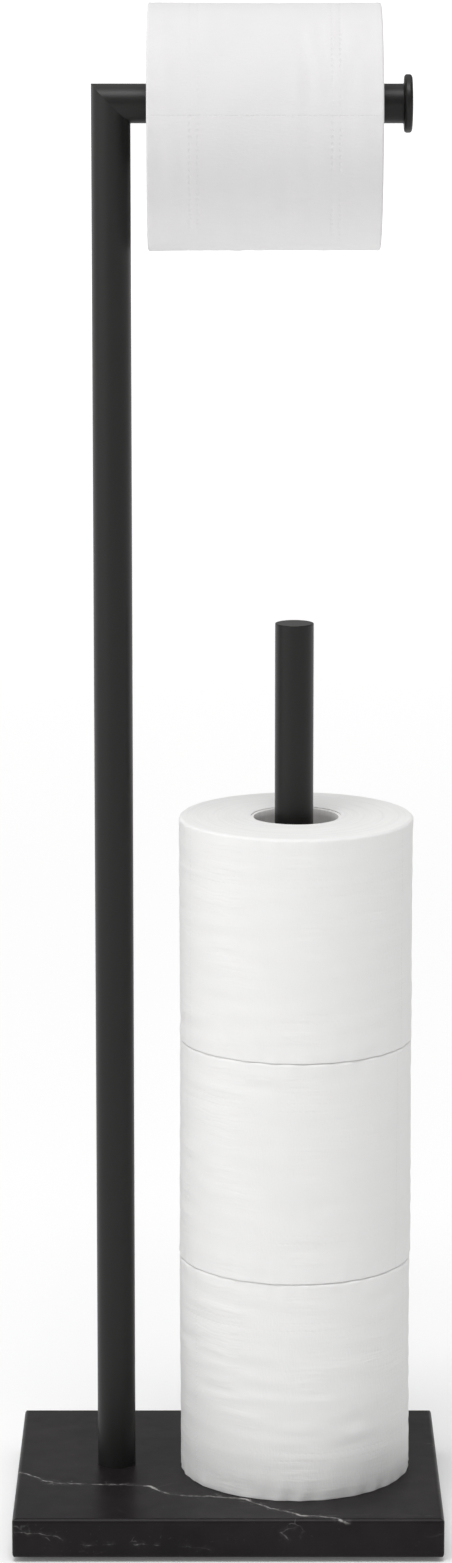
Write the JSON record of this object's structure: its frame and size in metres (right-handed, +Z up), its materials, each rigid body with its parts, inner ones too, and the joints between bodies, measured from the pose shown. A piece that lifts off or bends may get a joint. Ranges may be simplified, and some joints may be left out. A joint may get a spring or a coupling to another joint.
{
  "type": "free-standing toilet paper holder",
  "caption": "Free-standing toilet paper holder: stone slab, mitred tubular post and arm for the roll in use, and a reserve rod for spare rolls.",
  "frame": {"origin": "on the floor, under the centre of the slab", "axes": "+X along the arm from the post to its free end, +Z up, and the front faces -Y"},
  "size_m": [0.19, 0.15, 0.6751],
  "materials": {
    "black_marble": "honed black marble with a few thin pale veins",
    "black_coated_steel": "satin black powder coat",
    "rubber_pad": "matte black rubber",
    "zinc_plated_steel": "bright zinc plating",
    "tissue_paper": null,
    "roll_core_card": "spiral-wound pale grey board"
  },
  "bodies": {
    "stand": {"base_slab": "black_marble", "foot_pad_front_left": "rubber_pad", "foot_pad_front_right": "rubber_pad", "foot_pad_back_left": "rubber_pad", "foot_pad_back_right": "rubber_pad", "post_tube": "black_coated_steel", "arm_tube": "black_coated_steel", "arm_end_cap": "black_coated_steel", "rod_tube": "black_coated_steel", "rod_cap": "black_coated_steel", "post_foot_insert": "zinc_plated_steel", "post_screw": "zinc_plated_steel", "post_lock_washer": "zinc_plated_steel", "post_washer": "zinc_plated_steel", "rod_foot_insert": "zinc_plated_steel", "rod_screw": "zinc_plated_steel", "rod_lock_washer": "zinc_plated_steel", "rod_washer": "zinc_plated_steel"},
    "arm_roll": {"arm_roll_core": "roll_core_card", "arm_roll_paper": "tissue_paper"},
    "spare_roll_bottom": {"spare_roll_bottom_core": "roll_core_card", "spare_roll_bottom_paper": "tissue_paper"},
    "spare_roll_middle": {"spare_roll_middle_core": "roll_core_card", "spare_roll_middle_paper": "tissue_paper"},
    "spare_roll_top": {"spare_roll_top_core": "roll_core_card", "spare_roll_top_paper": "tissue_paper"}
  },
  "joints": [
    {"name": "arm_roll_spin", "type": "hinge", "parent": "stand", "child": "arm_roll", "pos_m": [0.0154, 0, 0.6221], "axis": [1, 0, 0], "continuous": true},
    {"name": "spare_roll_bottom_lift", "type": "slide", "parent": "stand", "child": "spare_roll_bottom", "axis": [0, 0, 1], "range_m": [0, 0.07]},
    {"name": "spare_roll_middle_lift", "type": "slide", "parent": "spare_roll_bottom", "child": "spare_roll_middle", "axis": [0, 0, 1], "range_m": [0, 0.07]},
    {"name": "spare_roll_top_lift", "type": "slide", "parent": "spare_roll_middle", "child": "spare_roll_top", "axis": [0, 0, 1], "range_m": [0, 0.1]}
  ]
}
